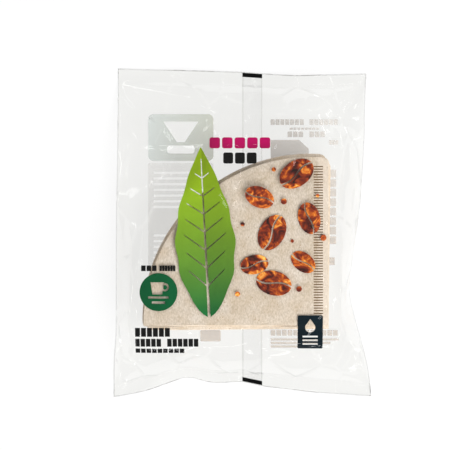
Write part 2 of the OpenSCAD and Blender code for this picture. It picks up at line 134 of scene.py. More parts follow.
# %% [markdown]
# ## Camera
# The photograph looks straight down on the bag. One pixel is 0.727 mm at the film's middle height, so a
# camera a metre up with a long lens gives the same small perspective: the top of the stack looks slightly
# larger.

# %% Camera straight above the bag
CAMERA_UP = 1.0
MID_FILM = 12 * MM
PIXEL = 0.727 * MM
IMAGE_W, IMAGE_H = 470, 450
BAG_PX = (242.5, 233.0)
bpy.ops.object.camera_add(
    location=((IMAGE_W / 2 - BAG_PX[0]) * PIXEL, (BAG_PX[1] - IMAGE_H / 2) * PIXEL, CAMERA_UP)
)
camera = bpy.context.object
camera.data.sensor_width = 36
camera.data.lens = camera.data.sensor_width * (CAMERA_UP - MID_FILM) / (IMAGE_W * PIXEL)
bpy.context.scene.camera = camera
bpy.context.scene.view_settings.view_transform = "Standard"
print("lens", round(camera.data.lens, 1), "mm")

# %% [markdown]
# ## Where the film lies
# The film is a flat tube that was sealed at both ends. Its outline isn't straight: the stack draws the
# right side in, and the bottom seal arches and buckles. A short table of points for each edge, softened,
# gives the outline of the CAD bag, about a millimetre wider all round, where the photograph has the film's
# edge. The other sizes come from the boxes of the CAD pieces.

# %% Sizes taken from the CAD pieces
FILM_MORE = 0.8  # how far the film reaches past the CAD bag on each side
film_low, film_high = (Vector(c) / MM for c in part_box("film_bag"))
paper_low, paper_high = (Vector(c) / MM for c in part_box("top_filter"))
HALF_W = (film_high.x - film_low.x) / 2 + FILM_MORE
HALF_L = 121.0
FILTER_R = 120.0
SEAM_W = paper_high.x - paper_low.x - FILTER_R
TIP = (paper_high.x - SEAM_W, paper_low.y)
STACK_TOP = paper_high.z
SEAL = 8.0
LEVEL_EDGE = 8.0  # how far the film stays level past the stack's rim
LEFT_X = TIP[0] - FILTER_R - LEVEL_EDGE
RIGHT_X = TIP[0] + SEAM_W + LEVEL_EDGE
LOW_Y = TIP[1] - LEVEL_EDGE
HIGH_Y = TIP[1] + FILTER_R + LEVEL_EDGE
SEAL_Y = HALF_L - SEAL
print("stack top", round(STACK_TOP, 2), "mm, cone tip at", [round(v, 1) for v in TIP])

# %% Outline of the bag
RIGHT_PULL = [(-1, 0), (-0.84, 0.1), (-0.7, 0.36), (-0.52, 0.75), (-0.35, 1.06), (-0.12, 0.82),
              (0.2, 0.52), (0.6, 0.34), (1, 0.2)]
LEFT_PULL = [(-1, 0), (-0.8, 0.1), (-0.6, 1), (0.2, 0.9), (1, 1.1)]
BOTTOM_PULL = [(-1, 0), (-0.75, 0.3), (-0.43, 1.05), (-0.22, 0.68), (0, 0.75), (0.16, 0.52),
               (0.6, 0.22), (1, 0.05)]
TOP_PULL = [(-1, 0), (-0.5, 0.25), (0, 0.5), (0.42, 1.1), (0.7, 0.9), (1, 0.75)]
RIGHT_DRAW, LEFT_DRAW, BOTTOM_DRAW, TOP_DIP = 17.6, 3.0, 15.5, 5.0
SIDE_SOFT, BOTTOM_SOFT, TOP_SOFT = 0.06, 0.05, 0.08  # how far the tables' corners are rounded
WAIST = -0.35


def soft(table, x, w):
    """Reads a table at x and a distance w to each side, which rounds its corners."""
    at, value = zip(*table)
    return (np.interp(x - w, at, value) + 2 * np.interp(x, at, value) + np.interp(x + w, at, value)) / 4


def left_edge(y):
    """Where the left fold lies at a place along the bag."""
    return -HALF_W + LEFT_DRAW * soft(LEFT_PULL, y / HALF_L, SIDE_SOFT)


def right_edge(y):
    """The same for the right fold."""
    return HALF_W - RIGHT_DRAW * soft(RIGHT_PULL, y / HALF_L, SIDE_SOFT)


def bottom_edge(x):
    """Where the bottom end lies at a place across the bag."""
    return -HALF_L + BOTTOM_DRAW * soft(BOTTOM_PULL, x / HALF_W, BOTTOM_SOFT)


def top_edge(x):
    """The same for the top end."""
    return HALF_L - TOP_DIP * soft(TOP_PULL, x / HALF_W, TOP_SOFT)


def drawn(x, y):
    """Where a point of the flat tube lies once the sides and ends are drawn in."""
    left = LEFT_X - (LEFT_X - x) * (LEFT_X - left_edge(y)) / (LEFT_X + HALF_W)
    right = RIGHT_X + (x - RIGHT_X) * (right_edge(y) - RIGHT_X) / (HALF_W - RIGHT_X)
    low = LOW_Y - (LOW_Y - y) * (LOW_Y - bottom_edge(x)) / (LOW_Y + HALF_L)
    high = HIGH_Y + (y - HIGH_Y) * (top_edge(x) - HIGH_Y) / (HALF_L - HIGH_Y)
    return (
        np.where(x < LEFT_X, left, np.where(x > RIGHT_X, right, x)),
        np.where(y < LOW_Y, low, np.where(y > HIGH_Y, high, y)),
    )


print("outline at the waist:", round(float(right_edge(WAIST * HALF_L)), 1), "mm")

# %% Height of the bag
BUCKLE = [(-0.8, 0), (-0.45, 1.15), (-0.12, 0), (0.25, 0), (0.5, 0.3), (0.8, 0)]
TOP_BUCKLE = [(-0.7, 0), (-0.5, 0.25), (-0.2, 0), (0.2, 0), (0.5, 0.6), (0.85, 0)]
FOLD_H, BUCKLE_H, CROWN_H = 12.0, 6.0, 4.8
FOLD_FROM, FOLD_FULL = 0.4, 0.95  # parts of the half width where the side fold starts to rise, and is up
LOWEST = 0.3  # height of the back film over the ground
TINY = 1e-3


def ramp(a, b, x):
    """0 at a and 1 at b, and level past them."""
    return np.clip((x - a) / (b - a), 0, 1)


def fullness(x, y):
    """0 at the seals and folds, 1 where the film lies over the stack."""
    px, py = drawn(x, y)
    low_seal = drawn(x, np.full_like(y, -SEAL_Y))[1]
    high_seal = drawn(x, np.full_like(y, SEAL_Y))[1]
    gaps = np.stack([px - left_edge(y), right_edge(y) - px, py - low_seal, high_seal - py])
    inside = 1 / np.sqrt((1 / np.maximum(gaps, TINY) ** 2).sum(0))
    qx, qy = px - TIP[0], py - TIP[1]
    strip = np.hypot(np.maximum(0, qx - SEAM_W), np.maximum(0, np.maximum(-qy, qy - FILTER_R)))
    cone = np.maximum(0, np.hypot(qx, qy) - FILTER_R)
    below = np.hypot(np.maximum(0, -FILTER_R - qx), qy)
    away = np.maximum(0, np.where(qx > 0, strip, np.where(qy > 0, cone, below)) - LEVEL_EDGE)
    return np.where(gaps.min(0) <= TINY, 0, np.sin(np.pi / 2 * inside / (inside + away)))


def crown(x, y):
    """Lift by the air shut in over the stack."""
    across, along = ramp(-HALF_W, RIGHT_X, x), ramp(LOW_Y, HIGH_Y, y)
    return CROWN_H * np.sqrt(np.maximum(0, np.sin(np.pi * across) * np.sin(np.pi * along)))


def draped(flat, level):
    """Places flat film points, with z above 0 on the front, as the bag lies. Level is the film's top."""
    x, y, side = flat[:, 0], flat[:, 1], flat[:, 2]
    px, py = drawn(x, y)
    meet = (
        FOLD_H * ramp(FOLD_FROM, FOLD_FULL, abs(x) / HALF_W)
        * ramp(-SEAL_Y, LOW_Y, y) * ramp(SEAL_Y, HIGH_Y, y)
        + BUCKLE_H * soft(BUCKLE, x / HALF_W, TOP_SOFT) * ramp(LOW_Y, -SEAL_Y, y)
        + BUCKLE_H * soft(TOP_BUCKLE, x / HALF_W, TOP_SOFT) * ramp(HIGH_Y, SEAL_Y, y)
    ) + LOWEST
    full = fullness(x, y)
    front = meet + (level - meet) * full + crown(x, y)
    back = LOWEST + (meet - LOWEST) * (1 - full)
    return np.stack([px, py, np.where(side > 0, front, np.where(side < 0, back, meet))], axis=1)


print("the folds lie up to", FOLD_H, "mm up, and the ends buckle by", BUCKLE_H, "mm")

# %% [markdown]
# ## The film: a flat tube, draped by a cloth simulation
# Film this thin can't stretch, so where the stack draws it in it must wrinkle. The tube is laid out flat at
# its real size, which becomes the cloth's rest shape, and a shape key lifts it round the stack. The
# simulation then settles the spare film into folds against the stack and the ground. It runs at ten times
# real size, because the solver's smallest clearance is 1 mm.

# %% Flat tube with its draped shape key
CELLS_X, CELLS_Y = 64, 84
FLAT_W, FLAT_L = 2 * HALF_W, 247.0
SEAL_ROWS = 3
SIM_SCALE = 0.01
OVER_STACK = 0.6  # where the lifted film starts, above the top filter
SIDE_STEP = 0.001  # marks the two sheets before they are lifted


def cell_number(place, cells):
    """Which row or column of cells a place from -1 to 1 is on."""
    return np.rint((place + 1) / 2 * cells).astype(int)


def in_seal(row):
    """Whether rows lie in the seal at either end."""
    return (row <= SEAL_ROWS) | (row >= CELLS_Y - SEAL_ROWS)


def at_fold(place):
    """Whether places from -1 to 1 across lie on a side fold."""
    return abs(place) > 1 - 1e-4


def film_grid(side, name):
    """One flat sheet of the tube, from -1 to 1 across and along."""
    bpy.ops.mesh.primitive_grid_add(x_subdivisions=CELLS_X, y_subdivisions=CELLS_Y, size=2)
    sheet = bpy.context.object
    sheet.name = name
    points = coords(sheet.data)
    joined = in_seal(cell_number(points[:, 1], CELLS_Y)) | at_fold(points[:, 0])
    points[:, 2] = np.where(joined, 0, side * SIDE_STEP)
    set_coords(sheet.data, points)
    if side < 0:
        pick_only(sheet)
        bpy.ops.object.mode_set(mode="EDIT")
        bpy.ops.mesh.select_all(action="SELECT")
        bpy.ops.mesh.flip_normals()
        bpy.ops.object.mode_set(mode="OBJECT")
    return sheet


def welded(front, back, reach):
    """Joins two sheets, and merges their points that are nearer than reach."""
    pick_only(front, back)
    bpy.ops.object.join()
    bpy.ops.object.mode_set(mode="EDIT")
    bpy.ops.mesh.select_all(action="SELECT")
    bpy.ops.mesh.remove_doubles(threshold=reach)
    bpy.ops.object.mode_set(mode="OBJECT")
    return bpy.context.object


cloth = welded(film_grid(1, "film_front"), film_grid(-1, "film_back"), SIDE_STEP / 2)
unit = coords(cloth.data)
flat = unit * np.array([FLAT_W / 2, FLAT_L / 2, 1])
nominal = unit * np.array([HALF_W, HALF_L, 1])
set_coords(cloth.data, flat * SIM_SCALE)
cloth.shape_key_add(name="flat")
cloth.shape_key_add(name="draped")
lifted = draped(nominal, STACK_TOP + OVER_STACK) * SIM_SCALE
for point, place in zip(cloth.data.shape_keys.key_blocks["draped"].data, lifted):
    point.co = place
cloth.data.shape_keys.key_blocks["draped"].value = 1
print("film tube:", len(unit), "points,", FLAT_W, "by", FLAT_L, "mm flat")

# %% [markdown]
# ## Settling the film
# The stack is stood in by a quarter cylinder and a block, just under the paper's own size, and the ground
# by a plane. The seals hold on most firmly, as a sealed end is the stiffest place, and the side folds only
# lightly. A little pressure stands for the air shut in the bag. Cloth gives the small pulls and puckers
# that film has and that no smooth lofted shape shows.

# %% Stand-ins for the stack and the ground
STAND_IN = 0.8  # how far the stand-ins lie inside the paper's outline
STAND_SINK = 0.5  # and below its top
STAND_LOW = 0.9
STRIP_LAP = 0.5  # how far the block runs into the quarter cylinder
STRIP_SHORT = 1
CUT_SHIFT = 0.01
GROUND_DROP = 0.006  # in the solver's metres, for the plane's own thickness


def collider(piece):
    """Makes a piece something that cloth lies on."""
    piece.modifiers.new("Collision", "COLLISION")
    piece.collision.thickness_outer = 0.005
    piece.collision.thickness_inner = 0.05
    piece.collision.cloth_friction = 3
    return piece


def stand_in_fan():
    """A quarter of a cylinder round the cone tip."""
    depth = STACK_TOP - STAND_SINK - STAND_LOW
    bpy.ops.object.select_all(action="DESELECT")
    bpy.ops.mesh.primitive_cylinder_add(
        vertices=160,
        radius=(FILTER_R - STAND_IN) * SIM_SCALE,
        depth=depth * SIM_SCALE,
        location=(TIP[0] * SIM_SCALE, TIP[1] * SIM_SCALE, (STAND_LOW + depth / 2) * SIM_SCALE),
    )
    fan = bpy.context.object
    bpy.ops.object.transform_apply(location=True)
    bpy.ops.object.mode_set(mode="EDIT")
    for place, normal in (
        ((TIP[0] - CUT_SHIFT, 0, 0), (1, 0, 0)),
        ((0, TIP[1] + STAND_IN, 0), (0, -1, 0)),
    ):
        bpy.ops.mesh.select_all(action="SELECT")
        bpy.ops.mesh.bisect(
            plane_co=[c * SIM_SCALE for c in place], plane_no=normal, use_fill=True, clear_outer=True
        )
    bpy.ops.object.mode_set(mode="OBJECT")
    return fan


def stand_in_strip():
    """A block for the crimped strip beside the fan."""
    width = SEAM_W - STAND_IN + STRIP_LAP
    length = FILTER_R - 2 * STAND_IN - STRIP_SHORT
    depth = STACK_TOP - STAND_SINK - STAND_LOW
    bpy.ops.object.select_all(action="DESELECT")
    bpy.ops.mesh.primitive_cube_add(
        size=1,
        scale=(width * SIM_SCALE, length * SIM_SCALE, depth * SIM_SCALE),
        location=(
            (TIP[0] - STRIP_LAP + width / 2) * SIM_SCALE,
            (TIP[1] + STAND_IN + length / 2) * SIM_SCALE,
            (STAND_LOW + depth / 2) * SIM_SCALE,
        ),
    )
    return bpy.context.object


helpers = [collider(stand_in_fan()), collider(stand_in_strip())]
bpy.ops.mesh.primitive_plane_add(size=8, location=(0, 0, -GROUND_DROP))
helpers.append(collider(bpy.context.object))
print("stand-ins:", [len(h.data.polygons) for h in helpers], "faces")

# %% Cloth settings and the run
FRAMES = 36
END_HOLD, SEAL_HOLD, FOLD_HOLD = 1, 0.5, 0.12
row = cell_number(unit[:, 1], CELLS_Y)
at_end = (row == 0) | (row == CELLS_Y)
hold = np.where(
    at_end, END_HOLD, np.where(in_seal(row), SEAL_HOLD, np.where(at_fold(unit[:, 0]), FOLD_HOLD, 0))
)
held = cloth.vertex_groups.new(name="held")
for weight in (END_HOLD, SEAL_HOLD, FOLD_HOLD):
    held.add([int(n) for n in np.flatnonzero(hold == weight)], weight, "REPLACE")


def settle(piece):
    """Runs the cloth and returns where its points come to rest, in millimetres."""
    cloth_maker = piece.modifiers.new("Cloth", "CLOTH")
    film = cloth_maker.settings
    film.quality = 8
    film.mass = 0.05
    film.tension_stiffness = film.compression_stiffness = 60
    film.shear_stiffness = 30
    film.bending_stiffness = 15
    film.tension_damping = film.compression_damping = film.shear_damping = 5
    film.bending_damping = 1
    film.air_damping = 2
    film.rest_shape_key = piece.data.shape_keys.key_blocks["flat"]
    film.use_pressure = True
    film.uniform_pressure_force = 0.5
    film.vertex_group_mass = "held"
    film.pin_stiffness = 0.6
    cloth_maker.collision_settings.distance_min = 0.004
    cloth_maker.collision_settings.collision_quality = 3
    cloth_maker.point_cache.frame_end = FRAMES
    for step in range(1, FRAMES + 1):
        bpy.context.scene.frame_set(step)
    shape = piece.evaluated_get(bpy.context.evaluated_depsgraph_get())
    return coords(shape.data) / SIM_SCALE


bpy.context.scene.frame_start, bpy.context.scene.frame_end = 1, FRAMES
settled = settle(cloth)
bpy.context.scene.frame_set(1)
print("settled film reaches from", settled.min(0).round(1), "to", settled.max(0).round(1), "mm")

# %% [markdown]
# ## The film as one closed piece
# The finished bag is one closed skin: a front and a back sheet, welded along all four edges. In the end
# seals the two lie a seal's thickness apart, and the outline's edges are creased so that smoothing doesn't
# draw them in. The paper has to stay inside, so no point of the front goes below the paper's top where it
# lies over the stack, and no point of either sheet goes below the ground. One level of subdivision rounds
# the cells.

# %% Film bag from the settled points
SEAL_HALF = 0.08
GROUND_GAP = 0.35
PAPER_GAP = 0.45
WELD_REACH = 0.02 * MM
cell_of = {
    (int(cell_number(u, CELLS_X)), int(cell_number(v, CELLS_Y)), int(np.sign(round(w, 6)))): n
    for n, (u, v, w) in enumerate(unit)
}


def over_stack(x, y):
    """Whether points lie over the stack."""
    qx, qy = x - TIP[0], y - TIP[1]
    in_fan = (qx <= 0) & (qy >= 0) & (np.hypot(qx, qy) <= FILTER_R)
    in_strip = (qx > 0) & (qx <= SEAM_W) & (qy >= 0) & (qy <= FILTER_R)
    return in_fan | in_strip


def keep_off_paper(points, on_front):
    """Lifts the front's points, in millimetres, that would lie in the paper."""
    covered = on_front & over_stack(points[:, 0], points[:, 1])
    points[:, 2] = np.where(covered, np.maximum(points[:, 2], STACK_TOP + PAPER_GAP), points[:, 2])


def film_sheet(side, name):
    """A sheet of the film with its points where the cloth came to rest, and its outline's edges creased."""
    sheet = film_grid(side, name)
    grid = coords(sheet.data)
    across, along = cell_number(grid[:, 0], CELLS_X), cell_number(grid[:, 1], CELLS_Y)
    rest = np.array(
        [settled[cell_of.get((i, j, side), cell_of.get((i, j, 0)))] for i, j in zip(across, along)]
    )
    inner = (across > 0) & (across < CELLS_X) & (along > 0) & (along < CELLS_Y)
    rest[:, 2] = np.maximum(rest[:, 2], GROUND_GAP + SEAL_HALF)
    keep_off_paper(rest, side > 0)
    rest[:, 2] += np.where(in_seal(along) & inner, side * SEAL_HALF, 0)
    set_coords(sheet.data, rest * MM)
    pick_only(sheet)
    bpy.ops.object.mode_set(mode="EDIT")
    bpy.ops.mesh.select_mode(type="EDGE")
    bpy.ops.mesh.select_all(action="DESELECT")
    bpy.ops.mesh.select_non_manifold()
    bpy.ops.transform.edge_crease(value=1)
    bpy.ops.mesh.select_mode(type="VERT")
    bpy.ops.object.mode_set(mode="OBJECT")
    return sheet


film_bag = welded(film_sheet(1, "film_bag_visual"), film_sheet(-1, "film_back"), WELD_REACH)
film_bag.modifiers.new("Round", "SUBSURF")
film_bag.modifiers["Round"].levels = film_bag.modifiers["Round"].render_levels = 1
bpy.ops.object.modifier_apply(modifier="Round")
bpy.ops.object.shade_smooth()
pick_only(cloth, *helpers)
bpy.ops.object.delete()
print("film:", len(film_bag.data.polygons), "faces")

# %% [markdown]
# ## Creases
# Handling leaves sharp straight creases in film, mostly from the corners and the seals towards the stack.
# They are finer than the cloth's cells, so each is raised afterwards as a low ridge with a shallow valley
# beside it. The list gives both ends, the height and the half width of each.

# %% Straight creases on the front
CREASES = [
    (-90.5, 107.0, -73.0, 87.0, 1.5, 2.0), (-82.0, 104.0, -55.0, 84.5, 1.3, 2.0),
    (-60.0, 99.0, -46.0, 80.0, 0.7, 2.2), (90.5, 107.0, 73.0, 87.5, 1.4, 2.0),
    (80.0, 98.0, 66.0, 70.0, 0.8, 2.4), (25.8, 103.0, 34.5, 85.0, 1.1, 2.0),
    (52.5, 112.0, 44.5, 86.0, 1.0, 2.0), (29.0, 70.0, 23.5, 57.0, 0.9, 1.9),
    (56.0, 76.0, 59.5, 60.0, 0.7, 2.0), (-22.0, 92.0, -15.0, 76.0, 1.0, 2.2),
    (-15.0, 76.0, -8.0, 64.0, 0.9, 2.2), (69.0, -16.0, 80.5, -68.0, 1.2, 2.4),
    (74.5, -77.0, 90.0, -87.5, 1.3, 2.2), (80.0, -84.0, 93.0, -109.0, 1.4, 2.2),
    (-89.0, -82.0, -93.0, -104.0, 1.2, 2.2), (-84.0, -84.0, -66.0, -102.0, 0.9, 2.2),
    (-40.0, -80.0, -48.0, -100.0, 0.9, 2.4), (10.0, -82.0, 22.0, -101.0, 0.7, 2.4),
    (48.0, -80.0, 54.0, -99.0, 0.7, 2.4), (-84.0, 30.0, -78.0, -20.0, 0.8, 2.6),
    (84.0, 40.0, 78.0, 5.0, 0.8, 2.4),
]
# The valley's depth, and its place and width, as shares of the ridge's height and half width
VALLEY_DEEP, VALLEY_OFF, VALLEY_WIDE = 0.25, 1.9, 1.3
END_FADE = 0.8
FACES_UP = 0.15


def creased(x, y):
    """Height added at points of the front film, in millimetres."""
    lift = np.zeros_like(x)
    for x0, y0, x1, y1, height, width in CREASES:
        length = math.hypot(x1 - x0, y1 - y0)
        ux, uy = (x1 - x0) / length, (y1 - y0) / length
        along = ((x - x0) * ux + (y - y0) * uy) / length
        off = (x - x0) * uy - (y - y0) * ux
        fade = np.sin(np.pi * np.clip(along, 0, 1)) ** END_FADE
        ridge = np.exp(-((off / width) ** 2))
        valley = VALLEY_DEEP * np.exp(-(((off - VALLEY_OFF * width) / (VALLEY_WIDE * width)) ** 2))
        lift += height * fade * (ridge - valley)
    return lift


def crease_film(skin):
    """Raises the creases on the upward faces of the bag's front."""
    points = coords(skin.data) / MM
    normals = np.empty(len(points) * 3)
    skin.data.vertices.foreach_get("normal", normals)
    on_front = normals.reshape(-1, 3)[:, 2] > FACES_UP
    points[:, 2] += np.where(on_front, creased(points[:, 0], points[:, 1]), 0)
    keep_off_paper(points, on_front)
    set_coords(skin.data, points * MM)


crease_film(film_bag)
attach(film_bag, "root")
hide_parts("film_bag")
print("creases:", len(CREASES))

# %% [markdown]
# ## The fin
# The film web was made a tube by one long seal down the back. Its two lips stand as a fin, pressed flat to
# one side under the back of the bag. Through the clear front it shows as a slightly greyer band.

# %% Fin laid under the back film
FIN_W = 14.5
FIN_T = 0.12
FIN_SHORT = 0.6  # how far it ends inside the bag's ends
UNDER_FILM = -0.14
FAR_BELOW, FAR_ABOVE = -5 * MM, 60 * MM


def lay_on_film(piece, upward, gap):
    """Drops a piece's points straight onto the film, from above or below, then moves them by a gap."""
    start = coords(piece.data)
    start[:, 2] = FAR_BELOW if upward else FAR_ABOVE
    set_coords(piece.data, start)
    pick_only(piece)
    wrap = piece.modifiers.new("Lay", "SHRINKWRAP")
    wrap.wrap_method = "PROJECT"
    wrap.target = film_bag
    wrap.use_project_x = wrap.use_project_y = False
    wrap.use_project_z = True
    wrap.use_positive_direction, wrap.use_negative_direction = upward, not upward
    bpy.ops.object.modifier_apply(modifier="Lay")
    laid = coords(piece.data)
    missed = np.isclose(laid[:, 2], start[:, 2])
    laid[:, 2] += gap * MM
    set_coords(piece.data, laid)
    return int(missed.sum())


def thicken(piece, thickness):
    """Gives a laid sheet its thickness, half to each side, and closes it."""
    pick_only(piece)
    wall = piece.modifiers.new("Wall", "SOLIDIFY")
    wall.thickness = thickness * MM
    wall.offset = 0
    bpy.ops.object.modifier_apply(modifier="Wall")


def fin_strip():
    """A strip from seal to seal, laid on the underside of the bag."""
    bpy.ops.object.select_all(action="DESELECT")
    bpy.ops.mesh.primitive_grid_add(x_subdivisions=6, y_subdivisions=CELLS_Y * 2, size=2)
    strip = bpy.context.object
    strip.name = "film_fin"
    grid = coords(strip.data)
    across = (grid[:, 0] + 1) / 2 * FIN_W
    along = (grid[:, 1] + 1) / 2
    low = bottom_edge(across) + FIN_SHORT
    high = top_edge(across) - FIN_SHORT
    set_coords(strip.data, np.stack([across, low + (high - low) * along, 0 * across], axis=1) * MM)
    missed = lay_on_film(strip, True, UNDER_FILM)
    thicken(strip, FIN_T)
    bpy.ops.object.shade_smooth()
    print("fin points that missed the film:", missed)
    return strip


film_fin = fin_strip()
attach(film_fin, "root")

# %% [markdown]
# ## Printed ink
# The print is ink on the film's inner side, so it bends with every pucker. Each printed field starts as a
# copy of its CAD node, which is merged first because a CAD mesh is loose triangles. Its upper faces are
# kept, cut in small cells so that they can bend, and dropped onto the film; a thin wall closes them again.

# %% Copying a CAD print and laying it on the film
INK_CELL = 2.0
INK_T = 0.04
MERGE_REACH = 0.002 * MM
LOOKS_UP = 0.1
OVER_FILM, OVER_BACK = 0.04, 0.12
END_SPREAD = 1.012


def flat_outline(node, name):
    """The upper faces of a CAD print, as a sheet of its own."""
    pick_only(nodes[node])
    bpy.ops.object.duplicate()
    field = bpy.context.object
    field.name = name
    bpy.ops.object.mode_set(mode="EDIT")
    bpy.ops.mesh.select_all(action="SELECT")
    bpy.ops.mesh.remove_doubles(threshold=MERGE_REACH)
    bpy.ops.mesh.select_mode(type="FACE")
    bpy.ops.mesh.select_all(action="DESELECT")
    bpy.ops.object.mode_set(mode="OBJECT")
    for face in field.data.polygons:
        face.select = face.normal.z < LOOKS_UP
    bpy.ops.object.mode_set(mode="EDIT")
    bpy.ops.mesh.delete(type="FACE")
    bpy.ops.object.mode_set(mode="OBJECT")
    return field


def cut_in_cells(piece):
    """Cuts a sheet along even lines both ways, so that it can follow the film."""
    points = coords(piece.data) / MM
    low, high = points.min(0), points.max(0)
    bpy.ops.object.mode_set(mode="EDIT")
    for axis in (0, 1):
        for at in np.arange(low[axis] + INK_CELL, high[axis], INK_CELL):
            place, normal = [0, 0, 0], [0, 0, 0]
            place[axis], normal[axis] = at * MM, 1
            bpy.ops.mesh.select_all(action="SELECT")
            bpy.ops.mesh.bisect(plane_co=place, plane_no=normal)
    bpy.ops.object.mode_set(mode="OBJECT")


def printed(node, name, upward=False, gap=UNDER_FILM, spread=1.0):
    """A printed field in place of its CAD node, spread lengthwise where it marks the film's ends."""
    field = flat_outline(node, name)
    set_coords(field.data, coords(field.data) * np.array([1, spread, 1]))
    cut_in_cells(field)
    missed = lay_on_film(field, upward, gap)
    thicken(field, INK_T)
    bpy.ops.object.shade_flat()
    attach(field, "root")
    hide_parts(node)
    print(name, len(field.data.polygons), "faces,", missed, "points missed the film")
    return field


leaf_ink = printed("leaf_print", "leaf_ink")
bean_ink = printed("bean_print", "bean_ink")
title_ink = printed("title_print", "title_ink")
badge_ink = printed("badge_print", "badge_ink")
caption_ink = printed("caption_print", "caption_ink")
label_ink = printed("label_print", "label_ink")
eye_ink = printed("eye_marks", "eye_ink", gap=OVER_FILM, spread=END_SPREAD)
back_panel_ink = printed("back_panel_print", "back_panel_ink", upward=True, gap=OVER_BACK)
back_text_ink = printed("back_text_print", "back_text_ink", upward=True, gap=OVER_BACK)

# %% [markdown]
# ## Materials
# Every finish is made of procedural nodes, with its pattern scaled from a real size. Object coordinates are
# metres here, so a Noise Texture at scale 1000 has cells of about a millimetre. The paper is unbleached
# pulp: fibres lie in it as soft streaks, with a few specks of bark, and its surface is too rough to shine.

# %% Unbleached filter paper
# Cells a metre: fibres of 0.9 mm, clouds of 11 mm, specks 1.6 mm apart and a tooth of 0.4 mm
FIBRES, CLOUDS, SPECKS, TOOTH = 1100.0, 90.0, 620.0, 2600.0
FIBRE_STOPS, CLOUD_STOPS, SPECK_STOPS = (0.36, 0.64), (0.35, 0.68), (0.7, 0.75)


def unbleached_paper(name, low, high, says):
    """Wet laid pulp: long fibres show as soft streaks, with specks of bark, over a crepe-like tooth."""
    paper = finish_named(name, says)
    place = add(paper, "TexCoord")
    stretched = add(
        paper, "Mapping", Vector=(place, "Object"), Scale=(1.0, 0.5, 1.0), Rotation=(0, 0, 0.5)
    )
    fibres = add(paper, "TexNoise", Vector=(stretched, "Vector"), Scale=FIBRES, Detail=4.0, Roughness=0.7)
    tone = add(paper, "ValToRGB", {"stops": tuple(zip(FIBRE_STOPS, (low, high)))}, Fac=(fibres, "Fac"))
    clouds = add(paper, "TexNoise", Vector=(place, "Object"), Scale=CLOUDS, Detail=5.0, Roughness=0.6)
    wash = add(
        paper, "ValToRGB", {"stops": tuple(zip(CLOUD_STOPS, ("#F0EAE0", "#FFFFFF")))}, Fac=(clouds, "Fac")
    )
    warm = add(
        paper, "Mix", {"data_type": "RGBA", "blend_type": "MULTIPLY"},
        i0=1.0, i6=(tone, "Color"), i7=(wash, "Color"),
    )
    specks = add(paper, "TexNoise", Vector=(place, "Object"), Scale=SPECKS, Detail=2.0, Roughness=0.5)
    speck_at = add(
        paper, "ValToRGB", {"stops": tuple(zip(SPECK_STOPS, ("#000000", "#FFFFFF")))}, Fac=(specks, "Fac")
    )
    colour = add(
        paper, "Mix", {"data_type": "RGBA"},
        i0=(speck_at, "Color"), i6=(warm, "Result"), i7=linear("#9A7A55"),
    )
    tooth = add(paper, "TexNoise", Vector=(place, "Object"), Scale=TOOTH, Detail=3.0, Roughness=0.6)
    relief = add(paper, "Bump", Strength=0.5, Distance=0.08 * MM, Height=(tooth, "Fac"))
    skin = add(
        paper, "BsdfPrincipled", Base_Color=(colour, "Result"), Roughness=0.92,
        Specular_IOR_Level=0.25, Normal=(relief, "Normal"),
    )
    add(paper, "OutputMaterial", Surface=(skin, "BSDF"))
    return paper


# %% The crimped strip's grooves, darkened with painted shade
GROOVE_FROM, GROOVE_TO = 0.02, 0.05  # below the paper's top
MARGIN_W, MARGIN_SOFT = 7.5, 1.5
MARGIN_SHARE = 0.35


def crimped(paper):
    """Darkens the top filter's pressed grooves with painted shade, and lightens the margin outside them a
    little.
    """
    skin = next(n for n in paper.node_tree.nodes if n.type == "BSDF_PRINCIPLED")
    plain = skin.inputs["Base Color"].links[0].from_node
    place = add(paper, "SeparateXYZ", Vector=(add(paper, "TexCoord"), "Object"))
    top, edge = STACK_TOP * MM, (TIP[0] + SEAM_W) * MM
    # The pressed grooves: a band just below the paper's top, which gets painted shade
    pressed = add(
        paper, "MapRange", Value=(place, "Z"), From_Min=top - GROOVE_FROM * MM, From_Max=top - GROOVE_TO * MM
    )
    margin = add(
        paper, "MapRange", Value=(place, "X"),
        From_Min=edge - MARGIN_W * MM, From_Max=edge - (MARGIN_W - MARGIN_SOFT) * MM,
    )
    share = add(paper, "Math", {"operation": "MULTIPLY"}, i0=(margin, "Result"), i1=MARGIN_SHARE)
    light = add(
        paper, "Mix", {"data_type": "RGBA"},
        i0=(share, "Value"), i6=(plain, "Result"), i7=linear("#EFE2D4"),
    )
    # Painted shade: the grooves turn dark brown, #6E5539
    groove_shaded = add(
        paper, "Mix", {"data_type": "RGBA"},
        i0=(pressed, "Result"), i6=(light, "Result"), i7=linear("#6E5539"),
    )
    paper.node_tree.links.new(groove_shaded.outputs["Result"], skin.inputs["Base Color"])
    return paper


FACE_TONES = ("#C0B3A2", "#DFD4C9")
# The stack gets a lighter copy of the paper: painted light on its edges, which would otherwise lie in shade
# between the sheets
stack_painted_light_paper = unbleached_paper(
    "filter_paper_edges_painted_light", "#DACDBD", "#F2E7DB", "the stack's cut edges, fluffy and lighter"
)
give(nodes["filter_stack"], stack_painted_light_paper)
face_paper = unbleached_paper("unbleached_filter_paper", *FACE_TONES, "matt, fibrous and slightly speckled")
give(nodes["back_filter"], face_paper)
# The top filter's pressed grooves get painted shade.
top_paper = unbleached_paper(
    "crimped_filter_paper_groove_shade", *FACE_TONES, "the same paper, darker where it is pressed"
)
give(nodes["top_filter"], crimped(top_paper))

# %% [markdown]
# ## Clear film
# Cast polypropylene is clear and glossy. What the eye takes for film is mostly its faults: thin glints
# along creases, a grey line where it folds, the fine ribs of the seal. The grey line is painted shade, a
# darker tint of the clear film along its edges. The line and the ribs are laid out by the flat film's own
# UV map, in millimetres, and the waves and small creases by the place on the bag.

# %% Bump of the film
RIB_PITCH = 1.3
WAVES, HANDLING = 95.0, 36.0  # cells a metre: waves of 10 mm, and creases 28 mm apart


